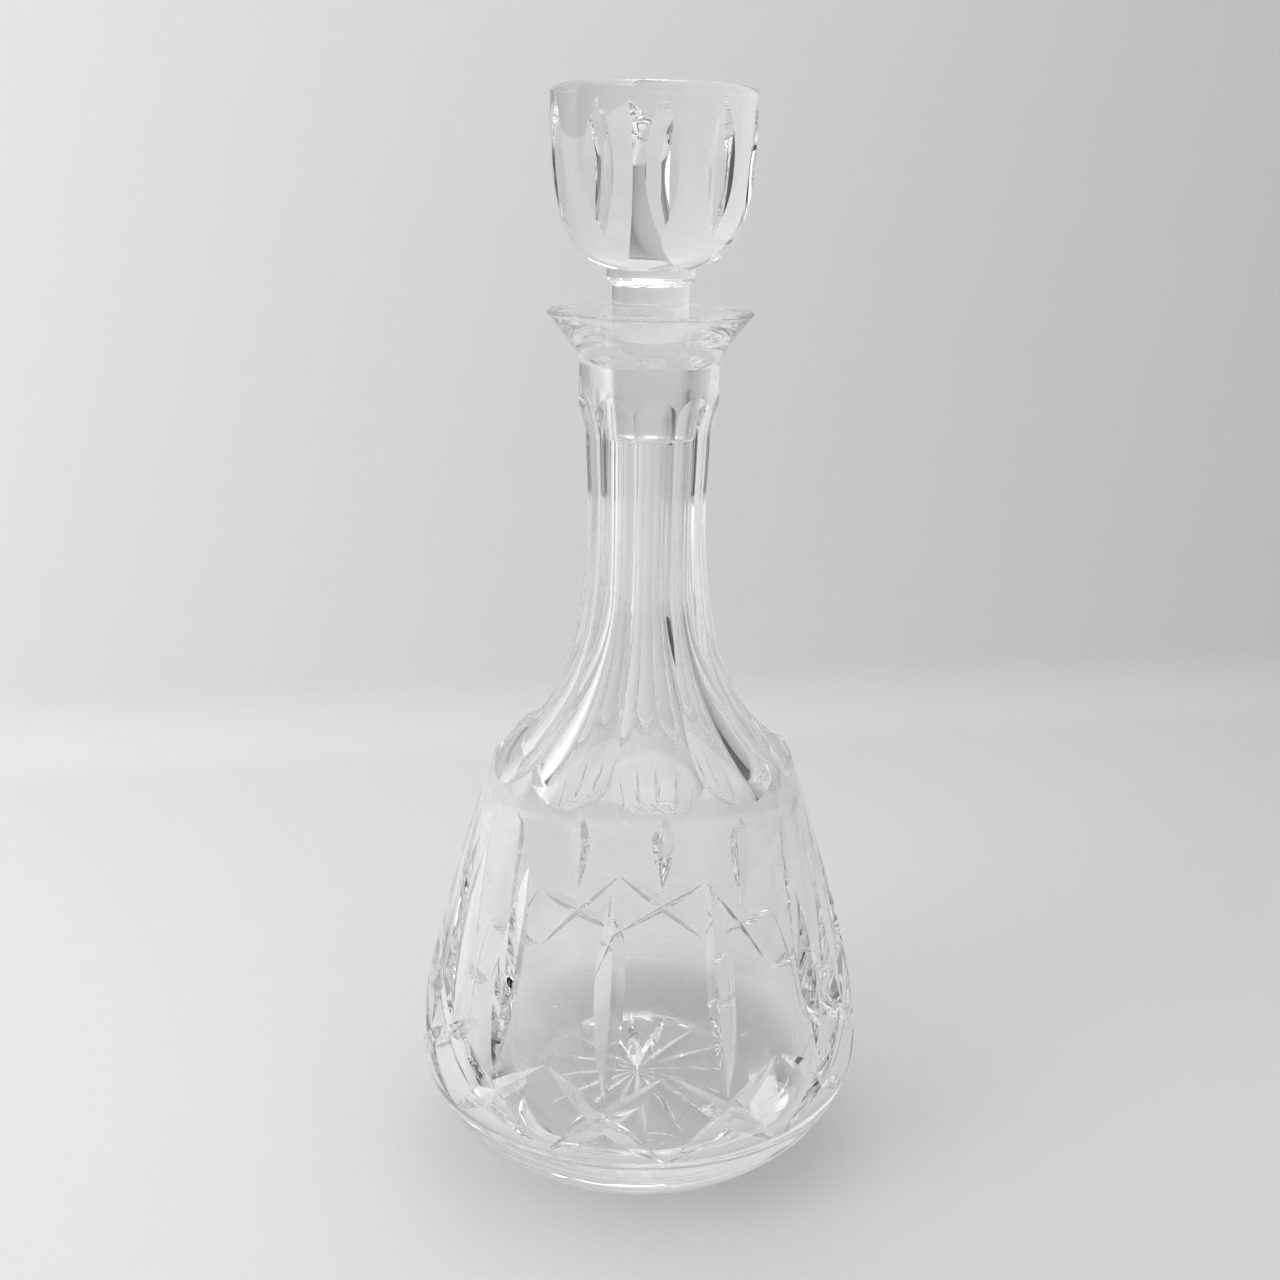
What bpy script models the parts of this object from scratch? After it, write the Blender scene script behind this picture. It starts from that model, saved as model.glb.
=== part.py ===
"""Cut crystal decanter with a solid ground stopper.

The bottle and the stopper are each turned as a plain blank and then cut, in the order a glass cutter works:
hollow flutes down the neck, upright mitres and crossed mitres round the body, a star under the base, and
lens-shaped mitres round the stopper's head. The axis is +Z and the foot rests on z = 0.
"""

import math

import bpy
import bmesh
from mathutils import Vector

MM = 0.001
DEG = math.pi / 180

# Bottle, outside of the blank
BOTTLE_HEIGHT = 232.2 * MM
FOOT_RADIUS = 34.3 * MM
HEEL_LEAN = 56 * DEG
HEEL_LOWER_PULL = 14.0 * MM
HEEL_UPPER_PULL = 17.3 * MM
BELLY_RADIUS = 60.9 * MM
BELLY_HEIGHT = 34.1 * MM
SIDE_LEAN = 19 * DEG
SIDE_LOWER_PULL = 14.4 * MM
SIDE_UPPER_PULL = 39.0 * MM
SHOULDER_RADIUS = 39.8 * MM
SHOULDER_HEIGHT = 115.5 * MM
SHOULDER_PULL = 5.0 * MM
SHOULDER_RISE = 44.5 * MM
NECK_RADIUS = 17.8 * MM
NECK_FOOT_PULL = 26.0 * MM
FLARE_LENGTH = 13.2 * MM
FLARE_FOOT_PULL = 3.0 * MM
LIP_RADIUS = 25.9 * MM
LIP_WALL = 2.0 * MM

# Bottle, hollow inside and recess below
BASE_THICKNESS = 21.0 * MM
BASE_RECESS = 1.8 * MM
FOOT_RING_WIDTH = 2.4 * MM
SHOULDER_WALL = 4.5 * MM
BELLY_WALL = 9.0 * MM
FLOOR_ROUND = 20.5 * MM
FLOOR_PULL = 14.0 * MM
INNER_SHOULDER_DROP = 11.0 * MM
INNER_SHOULDER_PULL = 9.0 * MM
BORE_RADIUS = 8.4 * MM
BORE_FOOT_PULL = 24.0 * MM

# Ground joint between the plug and the neck
MOUTH_DEPTH = 13.7 * MM
JOINT_CLEARANCE = 0.3 * MM
PLUG_RADIUS = 9.7 * MM
PLUG_LENGTH = 17.5 * MM
PLUG_TAPER = 3 * DEG
PLUG_CHAMFER = 0.7 * MM

# Stopper above the plug
HEAD_LIFT = 9.8 * MM
COLLAR_STEP = 1.4 * MM
COLLAR_LENGTH = 2.6 * MM
HEAD_RADIUS = 25.2 * MM
HEAD_LENGTH = 43.0 * MM
HEAD_EDGE_ROUND = 2.0 * MM
HEAD_FOOT_LEAN = 70 * DEG
HEAD_FOOT_PULL = 13.0 * MM
HEAD_TOP_PULL = 27.0 * MM

# Hollow flutes on the neck
FLUTE_COUNT = 10
FLUTE_TURN = 5.9 * DEG
FLUTE_SECTION_RADIUS = 22.0 * MM
FLUTE_SWEEP = 36 * DEG
FLUTE_SWEEP_RADIUS = 30.0 * MM
FLUTE_TOP_DROP = 20.5 * MM
FLUTE_TOP_DEPTH = 3.2 * MM
FLUTE_WAIST_RISE = 22.0 * MM
FLUTE_WAIST_DEPTH = 3.8 * MM
FLUTE_WAIST_PULL = 34.0 * MM
FLUTE_END_DROP = 3.3 * MM
FLUTE_END_LEAN = 73 * DEG
FLUTE_END_PULL = 20.5 * MM
FLUTE_OVERRUN = 14.0 * MM

# Mitre cuts round the body
PATTERN_COUNT = 12
PATTERN_TURN = -7.7 * DEG
MITRE_HALF_ANGLE = 58 * DEG
UPRIGHT_TOP_DROP = 18.5 * MM
UPRIGHT_FOOT_RISE = 9.9 * MM
UPRIGHT_DEPTH = 2.5 * MM
CROSS_TOP_RISE = 17.1 * MM
CROSS_FOOT_DROP = 6.7 * MM
CROSS_DEPTH = 1.7 * MM
CROSS_TIP_GAP = 0.8 * DEG

# Star under the base
STAR_COUNT = 16
STAR_TURN = 5.0 * DEG
STAR_BORDER = 1.9 * MM
STAR_DEPTH = 1.5 * MM

# Lens cuts round the stopper's head
LENS_COUNT = 10
LENS_TURN = 5.0 * DEG
LENS_TOP_DROP = 3.0 * MM
LENS_FOOT_RISE = 8.5 * MM
LENS_DEPTH = 2.8 * MM

# Fineness of the solids
TURNED_STEPS = 48
FLUTE_SECTION_STEPS = 10
CUT_STATIONS = 9
CUT_OVERRUN = 1.06
CUT_HEADROOM = 1.5 * MM
MERGE = 0.01 * MM

# Heights and places that follow from the sizes above
NECK_FOOT_HEIGHT = SHOULDER_HEIGHT + SHOULDER_RISE
FLARE_FOOT_HEIGHT = BOTTLE_HEIGHT - FLARE_LENGTH
JOINT_TOP_HEIGHT = BOTTLE_HEIGHT - MOUTH_DEPTH
JOINT_FOOT_HEIGHT = JOINT_TOP_HEIGHT - PLUG_LENGTH
HEAD_FOOT_HEIGHT = BOTTLE_HEIGHT + HEAD_LIFT
HEAD_TOP_HEIGHT = HEAD_FOOT_HEIGHT + HEAD_LENGTH
RING_INNER_RADIUS = FOOT_RADIUS - FOOT_RING_WIDTH


def curve(start, first, last, end, steps):
    """Points of a cubic curve in the (radius, height) plane, both ends included."""
    points = []
    for step in range(steps + 1):
        t = step / steps
        weights = ((1 - t) ** 3, 3 * t * (1 - t) ** 2, 3 * t * t * (1 - t), t ** 3)
        corners = (start, first, last, end)
        points.append(tuple(sum(w * c[axis] for w, c in zip(weights, corners)) for axis in (0, 1)))
    return points


def leaning(point, lean, distance):
    """The point at a distance from another, in a direction that leans outward from +Z."""
    return (point[0] + math.sin(lean) * distance, point[1] + math.cos(lean) * distance)


def side_outline():
    """The bottle's outer side from the foot up to the top of the flare."""
    foot = (FOOT_RADIUS, 0.0)
    belly = (BELLY_RADIUS, BELLY_HEIGHT)
    shoulder = (SHOULDER_RADIUS, SHOULDER_HEIGHT)
    neck = (NECK_RADIUS, NECK_FOOT_HEIGHT)
    flare = (NECK_RADIUS, FLARE_FOOT_HEIGHT)
    lip = (LIP_RADIUS, BOTTLE_HEIGHT - LIP_WALL / 2)
    heel = curve(foot, leaning(foot, HEEL_LEAN, HEEL_LOWER_PULL),
                 leaning(belly, 0, -HEEL_UPPER_PULL), belly, 7)
    side = curve(belly, leaning(belly, 0, SIDE_LOWER_PULL),
                 leaning(shoulder, -SIDE_LEAN, -SIDE_UPPER_PULL), shoulder, 8)
    top = curve(shoulder, leaning(shoulder, -SIDE_LEAN, SHOULDER_PULL),
                leaning(neck, 0, -NECK_FOOT_PULL), neck, 6)
    mouth = curve(flare, leaning(flare, 0, FLARE_FOOT_PULL), lip, lip, 3)
    return heel + side[1:] + top[1:] + mouth


def hollow_outline():
    """The bottle's inner wall from the middle of its floor up to the lip."""
    belly = (BELLY_RADIUS - BELLY_WALL, BELLY_HEIGHT)
    floor = (belly[0] - FLOOR_ROUND, BASE_THICKNESS)
    shoulder_height = SHOULDER_HEIGHT - INNER_SHOULDER_DROP
    shoulder = (SHOULDER_RADIUS + INNER_SHOULDER_DROP * math.tan(SIDE_LEAN) - SHOULDER_WALL, shoulder_height)
    bore = (BORE_RADIUS, NECK_FOOT_HEIGHT)
    corner = curve(floor, leaning(floor, math.pi / 2, FLOOR_PULL), leaning(belly, 0, -FLOOR_PULL), belly, 4)
    side = curve(belly, leaning(belly, 0, SIDE_LOWER_PULL),
                 leaning(shoulder, -SIDE_LEAN, INNER_SHOULDER_DROP - SIDE_UPPER_PULL), shoulder, 4)
    top = curve(shoulder, leaning(shoulder, -SIDE_LEAN, INNER_SHOULDER_PULL),
                leaning(bore, 0, -BORE_FOOT_PULL), bore, 6)
    joint_foot = (plug_radius(JOINT_FOOT_HEIGHT) + JOINT_CLEARANCE, JOINT_FOOT_HEIGHT)
    joint_top = (plug_radius(JOINT_TOP_HEIGHT) + JOINT_CLEARANCE, JOINT_TOP_HEIGHT)
    bore_top = (BORE_RADIUS, JOINT_FOOT_HEIGHT - abs(joint_foot[0] - BORE_RADIUS))
    return [(0.0, BASE_THICKNESS)] + corner + side[1:] + top[1:] + [bore_top, joint_foot, joint_top]


def lip_outline():
    """The rounded lip, from its inner edge over the top to just before its outer edge."""
    middle = (LIP_RADIUS - LIP_WALL / 2, BOTTLE_HEIGHT - LIP_WALL / 2)
    steps = 4
    return [leaning(middle, math.pi * (step / steps - 0.5), LIP_WALL / 2) for step in range(steps)]


def base_height(radius):
    """The height of the domed underside at a radius inside the foot ring."""
    return BASE_RECESS * (1 - abs(radius / RING_INNER_RADIUS) ** 3)


def base_outline():
    """The underside, from the foot ring's inner edge to the middle of the dome."""
    steps = 5
    radii = [RING_INNER_RADIUS * (1 - step / steps) for step in range(steps + 1)]
    return [(radius, base_height(radius)) for radius in radii]


def plug_radius(height):
    """The radius of the plug at a height, which narrows downward from the top of the joint."""
    return PLUG_RADIUS - max(0.0, JOINT_TOP_HEIGHT - height) * math.tan(PLUG_TAPER)


def head_outline():
    """The outside of the stopper's head from its collar up to the middle of its flat top."""
    foot = (PLUG_RADIUS + COLLAR_STEP, HEAD_FOOT_HEIGHT)
    edge = (HEAD_RADIUS, HEAD_TOP_HEIGHT - HEAD_EDGE_ROUND)
    bowl = curve(foot, leaning(foot, HEAD_FOOT_LEAN, HEAD_FOOT_PULL), leaning(edge, 0, -HEAD_TOP_PULL), edge, 10)
    middle = (HEAD_RADIUS - HEAD_EDGE_ROUND, HEAD_TOP_HEIGHT - HEAD_EDGE_ROUND)
    steps = 3
    rounding = [leaning(middle, math.pi / 2 * (1 - step / steps), HEAD_EDGE_ROUND) for step in range(1, steps + 1)]
    return bowl + rounding + [(0.0, HEAD_TOP_HEIGHT)]


def stopper_outline():
    """The stopper's outline from the middle of its top down its outer side to the middle of its foot."""
    foot_radius = plug_radius(JOINT_FOOT_HEIGHT)
    collar_foot = HEAD_FOOT_HEIGHT - COLLAR_LENGTH
    below = [(PLUG_RADIUS + COLLAR_STEP, collar_foot), (PLUG_RADIUS, collar_foot - COLLAR_STEP),
             (PLUG_RADIUS, JOINT_TOP_HEIGHT), (foot_radius, JOINT_FOOT_HEIGHT + PLUG_CHAMFER),
             (foot_radius - PLUG_CHAMFER, JOINT_FOOT_HEIGHT), (0.0, JOINT_FOOT_HEIGHT)]
    return head_outline()[::-1] + below


def bottle_outline():
    """The bottle's whole outline, up the inside, over the lip and down the outside."""
    return hollow_outline() + lip_outline() + side_outline()[::-1] + base_outline()


def flute_line():
    """The middle line of a flute in the (radius, height) plane, from above the neck to past the shoulder."""
    top = (NECK_RADIUS - FLUTE_TOP_DEPTH, FLARE_FOOT_HEIGHT - FLUTE_TOP_DROP)
    waist = (NECK_RADIUS - FLUTE_WAIST_DEPTH, NECK_FOOT_HEIGHT + FLUTE_WAIST_RISE)
    end = (SHOULDER_RADIUS + FLUTE_END_DROP * math.tan(SIDE_LEAN), SHOULDER_HEIGHT - FLUTE_END_DROP)
    centre = leaning(top, math.pi / 2, FLUTE_SWEEP_RADIUS)
    steps = 5
    sweep = [leaning(centre, FLUTE_SWEEP * (1 - step / steps) - math.pi / 2, FLUTE_SWEEP_RADIUS)
             for step in range(steps + 1)]
    third = (top[1] - waist[1]) / 3
    neck = curve(top, leaning(top, 0, -third), leaning(waist, 0, third), waist, 2)
    foot = curve(waist, leaning(waist, 0, -FLUTE_WAIST_PULL), leaning(end, -FLUTE_END_LEAN, FLUTE_END_PULL), end, 10)
    past = leaning(end, -FLUTE_END_LEAN, -FLUTE_OVERRUN)
    return sweep + neck[1:] + foot[1:] + [past]


def offset_line(line, distance):
    """A line moved outward by a distance, square to itself at each of its points."""
    moved = []
    for index, point in enumerate(line):
        before = line[max(index - 1, 0)]
        after = line[min(index + 1, len(line) - 1)]
        along = Vector((after[0] - before[0], after[1] - before[1])).normalized()
        moved.append((point[0] - along.y * distance, point[1] + along.x * distance))
    return moved


def surface_at(outline, height, turn):
    """A point of a turned surface at a height and an angle from -Y, and the way out of the glass there."""
    for lower, upper in zip(outline, outline[1:]):
        if lower[1] <= height <= upper[1] and upper[1] > lower[1]:
            share = (height - lower[1]) / (upper[1] - lower[1])
            radius = lower[0] + share * (upper[0] - lower[0])
            slope = math.atan2(lower[0] - upper[0], upper[1] - lower[1])
            around = Vector((math.sin(turn), -math.cos(turn), 0.0))
            return around * radius + Vector((0, 0, height)), around * math.cos(slope) + Vector((0, 0, math.sin(slope)))
    raise ValueError("the outline has no such height")


def new_collection(name, parent):
    """A new empty collection inside another."""
    collection = bpy.data.collections.new(name)
    parent.children.link(collection)
    return collection


def new_object(name, data, collection):
    """A new object in a collection."""
    piece = bpy.data.objects.new(name, data)
    collection.objects.link(piece)
    return piece


def crystal(name):
    """A clear, polished lead crystal."""
    material = bpy.data.materials.new(name)
    material.use_nodes = True
    shader = material.node_tree.nodes["Principled BSDF"]
    shader.inputs["Base Color"].default_value = (0.95, 0.96, 0.96, 1.0)
    shader.inputs["Metallic"].default_value = 0.0
    shader.inputs["Roughness"].default_value = 0.02
    shader.inputs["IOR"].default_value = 1.54
    shader.inputs["Transmission Weight"].default_value = 1.0
    return material


def turned(name, outline, collection):
    """A solid turned about the Z axis from an outline that starts and ends on the axis."""
    mesh = bpy.data.meshes.new(name)
    mesh.from_pydata([(radius, 0, height) for radius, height in outline],
                     [(index, index + 1) for index in range(len(outline) - 1)], [])
    mesh.materials.append(crystal(name + "_crystal"))
    piece = new_object(name, mesh, collection)
    screw = piece.modifiers.new("turn", "SCREW")
    screw.steps = TURNED_STEPS
    screw.render_steps = TURNED_STEPS
    screw.use_merge_vertices = True
    screw.merge_threshold = MERGE
    screw.use_smooth_shade = True
    return piece


def cutter(name, mesh, turn, collection):
    """One copy of a cutting shape, turned about the axis."""
    tool = new_object(name, mesh, collection)
    tool.rotation_euler.z = turn
    tool.hide_render = True
    tool.display_type = "WIRE"
    return tool


def ring_of_cutters(name, mesh, count, turn, collection):
    """Copies of a cutting shape spaced evenly about the axis."""
    for index in range(count):
        cutter(f"{name}_{index + 1:02d}", mesh, turn + index * math.tau / count, collection)


def mitre_mesh(name, route, depth):
    """A V-edged cut that is deepest in the middle of its route and runs out of the surface at both ends.

    The route is a list of (point, way out of the glass).
    """
    widening = math.tan(MITRE_HALF_ANGLE)
    shape = bmesh.new()
    sections = []
    last = len(route) - 1
    for index, (point, out) in enumerate(route):
        along = (route[min(index + 1, last)][0] - route[max(index - 1, 0)][0]).normalized()
        across = along.cross(out).normalized()
        sink = depth * (1 - (CUT_OVERRUN * (2 * index / last - 1)) ** 2)
        half_width = (CUT_HEADROOM + sink) * widening
        top = point + out * CUT_HEADROOM
        corners = (point - out * sink, top + across * half_width, top - across * half_width)
        sections.append([shape.verts.new(corner) for corner in corners])
    for near, far in zip(sections, sections[1:]):
        for side in range(3):
            shape.faces.new((near[side], near[side - 1], far[side - 1], far[side]))
    shape.faces.new(sections[0])
    shape.faces.new(sections[-1])
    bmesh.ops.recalc_face_normals(shape, faces=shape.faces)
    mesh = bpy.data.meshes.new(name)
    shape.to_mesh(mesh)
    shape.free()
    return mesh


def stations():
    """Evenly spaced places along a cut, from -1 to 1 at its tips and a little past both."""
    return [CUT_OVERRUN * (2 * step / (CUT_STATIONS - 1) - 1) for step in range(CUT_STATIONS)]


def slanting_route(outline, heights, half_turn):
    """A route over a turned surface between two heights, from one angle to its opposite about -Y."""
    middle = (heights[0] + heights[1]) / 2
    half = (heights[1] - heights[0]) / 2
    return [surface_at(outline, middle + half * place, half_turn * place) for place in stations()]


def flute_mesh():
    """The swept wheel that hollows one flute, as a closed mesh."""
    data = bpy.data.curves.new("flute_sweep", "CURVE")
    data.dimensions = "3D"
    data.bevel_depth = FLUTE_SECTION_RADIUS
    data.bevel_resolution = FLUTE_SECTION_STEPS
    data.use_fill_caps = True
    line = offset_line(flute_line(), FLUTE_SECTION_RADIUS)
    spline = data.splines.new("POLY")
    spline.points.add(len(line) - 1)
    for point, (radius, height) in zip(spline.points, line):
        point.co = (0, -radius, height, 1)
    sweep = bpy.data.objects.new("flute_sweep", data)
    bpy.context.scene.collection.objects.link(sweep)
    mesh = bpy.data.meshes.new_from_object(sweep.evaluated_get(bpy.context.evaluated_depsgraph_get()))
    bpy.data.objects.remove(sweep)
    shape = bmesh.new()
    shape.from_mesh(mesh)
    bmesh.ops.remove_doubles(shape, verts=shape.verts, dist=MERGE)
    bmesh.ops.recalc_face_normals(shape, faces=shape.faces)
    shape.to_mesh(mesh)
    shape.free()
    return mesh


def cut_away(piece, collection):
    """Cut every shape in a collection out of a piece, and close up the slivers that leaves."""
    cut = piece.modifiers.new(collection.name, "BOOLEAN")
    cut.operation = "DIFFERENCE"
    cut.operand_type = "COLLECTION"
    cut.collection = collection
    cut.solver = "EXACT"
    weld = piece.modifiers.new(collection.name + "_weld", "WELD")
    weld.merge_threshold = MERGE


def cut_flutes(bottle, cutters):
    """Hollow the flutes that run down the neck and end in scallops on the shoulder."""
    tools = new_collection("neck_flutes", cutters)
    ring_of_cutters("flute", flute_mesh(), FLUTE_COUNT, FLUTE_TURN, tools)
    cut_away(bottle, tools)


def cut_body(bottle, cutters):
    """Cut the uprights and, below each, the cross whose arms almost meet the next cross's arms."""
    outline = side_outline()
    half_turn = math.pi / PATTERN_COUNT - CROSS_TIP_GAP
    upright_span = (BELLY_HEIGHT + UPRIGHT_FOOT_RISE, SHOULDER_HEIGHT - UPRIGHT_TOP_DROP)
    cross_span = (BELLY_HEIGHT - CROSS_FOOT_DROP, BELLY_HEIGHT + CROSS_TOP_RISE)
    upright = mitre_mesh("upright", slanting_route(outline, upright_span, 0), UPRIGHT_DEPTH)
    rising = mitre_mesh("rising", slanting_route(outline, cross_span, half_turn), CROSS_DEPTH)
    falling = mitre_mesh("falling", slanting_route(outline, cross_span, -half_turn), CROSS_DEPTH)
    for name, mesh in (("upright", upright), ("rising", rising), ("falling", falling)):
        tools = new_collection("body_" + name, cutters)
        ring_of_cutters(name, mesh, PATTERN_COUNT, PATTERN_TURN, tools)
        cut_away(bottle, tools)


def cut_star(bottle, cutters):
    """Cut the star under the base, each cut running from one point of it to the opposite one."""
    down = Vector((0, 0, -1))
    reach = RING_INNER_RADIUS - STAR_BORDER
    route = [(Vector((0, reach * place, base_height(reach * place))), down) for place in stations()]
    tools = new_collection("base_star", cutters)
    mesh = mitre_mesh("ray", route, STAR_DEPTH)
    for index in range(STAR_COUNT // 2):
        cutter(f"ray_{index + 1:02d}", mesh, STAR_TURN + index * math.tau / STAR_COUNT, tools)
    cut_away(bottle, tools)


def cut_head(stopper, cutters):
    """Cut the lenses round the stopper's head."""
    span = (HEAD_FOOT_HEIGHT + LENS_FOOT_RISE, HEAD_TOP_HEIGHT - LENS_TOP_DROP)
    route = slanting_route(head_outline(), span, 0)
    tools = new_collection("head_lenses", cutters)
    ring_of_cutters("lens", mitre_mesh("lens", route, LENS_DEPTH), LENS_COUNT, LENS_TURN, tools)
    cut_away(stopper, tools)


def main():
    """Clear the scene, turn the two blanks and cut them."""
    for old in list(bpy.data.objects):
        bpy.data.objects.remove(old)
    scene = bpy.context.scene.collection
    decanter = new_collection("cut_crystal_decanter", scene)
    cutters = new_collection("cutters", scene)
    bottle = turned("bottle", bottle_outline(), decanter)
    stopper = turned("stopper", stopper_outline(), decanter)
    cut_flutes(bottle, cutters)
    cut_body(bottle, cutters)
    cut_star(bottle, cutters)
    cut_head(stopper, cutters)


main()
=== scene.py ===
"""Cut crystal decanter with its loose stopper, standing on a pale tabletop.

The bottle and the stopper are each turned from one outline and then cut by rings of
grinding-wheel shapes: hollow flutes down the neck, uprights and crosses round the body, a
star under the base and lens cuts round the stopper's head. Outlines are lists of
(radius, height) points in metres; turns are measured from -Y, counter-clockwise from above.
"""

import logging
import math
from dataclasses import dataclass, field
from enum import Enum

import bmesh
import bpy
from mathutils import Matrix, Vector


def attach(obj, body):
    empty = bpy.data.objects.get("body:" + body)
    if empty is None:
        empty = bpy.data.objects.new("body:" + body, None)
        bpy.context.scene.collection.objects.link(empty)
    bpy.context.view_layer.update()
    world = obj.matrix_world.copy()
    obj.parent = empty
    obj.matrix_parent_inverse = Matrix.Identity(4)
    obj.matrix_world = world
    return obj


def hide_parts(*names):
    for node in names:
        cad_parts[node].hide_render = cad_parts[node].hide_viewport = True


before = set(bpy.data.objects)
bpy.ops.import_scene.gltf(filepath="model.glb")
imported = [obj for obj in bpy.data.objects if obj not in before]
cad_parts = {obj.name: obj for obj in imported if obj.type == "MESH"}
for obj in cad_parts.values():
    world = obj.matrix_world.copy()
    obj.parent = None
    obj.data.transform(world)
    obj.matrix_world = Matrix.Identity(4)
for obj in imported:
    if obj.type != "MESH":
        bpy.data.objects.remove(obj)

MM = 0.001
DEG = math.pi / 180
MERGE = 0.0002 * MM
SHARP_ANGLE = 20 * DEG
GLASS_BOUNCES = 32

Point = tuple[float, float]
Outline = list[Point]
Station = tuple[Vector, Vector]

log = logging.getLogger("decanter")


class Body(Enum):
    """The two bodies that move apart."""

    BOTTLE = "decanter_bottle"
    STOPPER = "decanter_stopper"


class Slot(Enum):
    """The material slots of the two pieces."""

    BOTTLE = "bottle_crystal"
    STOPPER = "stopper_crystal"


# ---------------------------------------------------------------- outlines


def curve(start: Point, first: Point, last: Point, end: Point, steps: int) -> Outline:
    """Follow a cubic curve in the (radius, height) plane.

    Args:
        start: Where the curve begins.
        first: The handle that the curve leaves along.
        last: The handle that the curve arrives along.
        end: Where the curve ends.
        steps: How many straight steps to take.

    Returns:
        The curve's points, both ends included.
    """
    points = []
    for step in range(steps + 1):
        t = step / steps
        weights = ((1 - t) ** 3, 3 * t * (1 - t) ** 2, 3 * t * t * (1 - t), t ** 3)
        corners = (start, first, last, end)
        points.append(tuple(sum(w * c[axis] for w, c in zip(weights, corners)) for axis in (0, 1)))
    return points


def leaning(point: Point, lean: float, distance: float) -> Point:
    """Step from a point in a direction that leans outward from +Z."""
    return (point[0] + math.sin(lean) * distance, point[1] + math.cos(lean) * distance)


def rounded(middle: Point, start: float, end: float, radius: float, steps: int) -> Outline:
    """Follow an arc about a middle point.

    Args:
        middle: The arc's centre.
        start: The lean of the arc's first point, seen from the centre.
        end: The lean of its last point.
        radius: The arc's radius.
        steps: How many straight steps to take.

    Returns:
        The arc's points, both ends included.
    """
    return [leaning(middle, start + (end - start) * step / steps, radius) for step in range(steps + 1)]


def straight(start: Point, end: Point, steps: int) -> Outline:
    """Divide the straight line between two points, both ends included."""
    return [tuple(a + (b - a) * step / steps for a, b in zip(start, end)) for step in range(steps + 1)]


def joined(*parts: Outline) -> Outline:
    """Join outlines end to end, with each shared point kept once."""
    whole: Outline = []
    for part in parts:
        whole += [point for point in part if not whole or math.dist(point, whole[-1]) > MERGE]
    return whole


def surface_at(outline: Outline, height: float, turn: float) -> Station:
    """Find a point of a turned surface.

    Args:
        outline: The surface's outline, rising.
        height: The point's height.
        turn: The point's angle from -Y.

    Returns:
        The point, and the way out of the glass there.

    Raises:
        ValueError: The outline doesn't reach that height.
    """
    for lower, upper in zip(outline, outline[1:]):
        if lower[1] <= height <= upper[1] and upper[1] > lower[1]:
            share = (height - lower[1]) / (upper[1] - lower[1])
            radius = lower[0] + share * (upper[0] - lower[0])
            slope = math.atan2(lower[0] - upper[0], upper[1] - lower[1])
            around = Vector((math.sin(turn), -math.cos(turn), 0.0))
            out = around * math.cos(slope) + Vector((0, 0, math.sin(slope)))
            return around * radius + Vector((0, 0, height)), out
    raise ValueError(f"the outline has no height {height}")


# ---------------------------------------------------------------- mesh work


def closed_mesh(name: str, rings: list[list[Vector]]) -> bpy.types.Mesh:
    """Skin a row of matching rings and close its two ends.

    Args:
        name: The new mesh's name.
        rings: Rings of points, each with the same number of points.

    Returns:
        A closed mesh whose faces point outwards.
    """
    shape = bmesh.new()
    rows = [[shape.verts.new(point) for point in ring] for ring in rings]
    for near, far in zip(rows, rows[1:]):
        for side in range(len(near)):
            shape.faces.new((near[side], near[side - 1], far[side - 1], far[side]))
    shape.faces.new(rows[0])
    shape.faces.new(rows[-1])
    bmesh.ops.recalc_face_normals(shape, faces=shape.faces)
    mesh = bpy.data.meshes.new(name)
    shape.to_mesh(mesh)
    shape.free()
    return mesh


def turned_mesh(name: str, outline: Outline, steps: int) -> bpy.types.Mesh:
    """Turn an outline that starts and ends on the axis into a closed solid.

    Args:
        name: The new mesh's name.
        outline: The outline, from the axis round to the axis again.
        steps: How many flat steps go round.

    Returns:
        A closed mesh whose faces point outwards.
    """
    shape = bmesh.new()
    turns = [step * math.tau / steps for step in range(steps)]
    first = shape.verts.new((0, 0, outline[0][1]))
    rows = [[shape.verts.new((math.sin(turn) * radius, -math.cos(turn) * radius, height)) for turn in turns]
            for radius, height in outline[1:-1]]
    last = shape.verts.new((0, 0, outline[-1][1]))
    for side in range(steps):
        shape.faces.new((first, rows[0][side - 1], rows[0][side]))
        shape.faces.new((rows[-1][side], rows[-1][side - 1], last))
        for near, far in zip(rows, rows[1:]):
            shape.faces.new((near[side], near[side - 1], far[side - 1], far[side]))
    bmesh.ops.recalc_face_normals(shape, faces=shape.faces)
    mesh = bpy.data.meshes.new(name)
    shape.to_mesh(mesh)
    shape.free()
    return mesh


def new_piece(name: str, mesh: bpy.types.Mesh) -> bpy.types.Object:
    """Add a mesh to the scene as an object at the origin."""
    piece = bpy.data.objects.new(name, mesh)
    bpy.context.scene.collection.objects.link(piece)
    return piece


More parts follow.
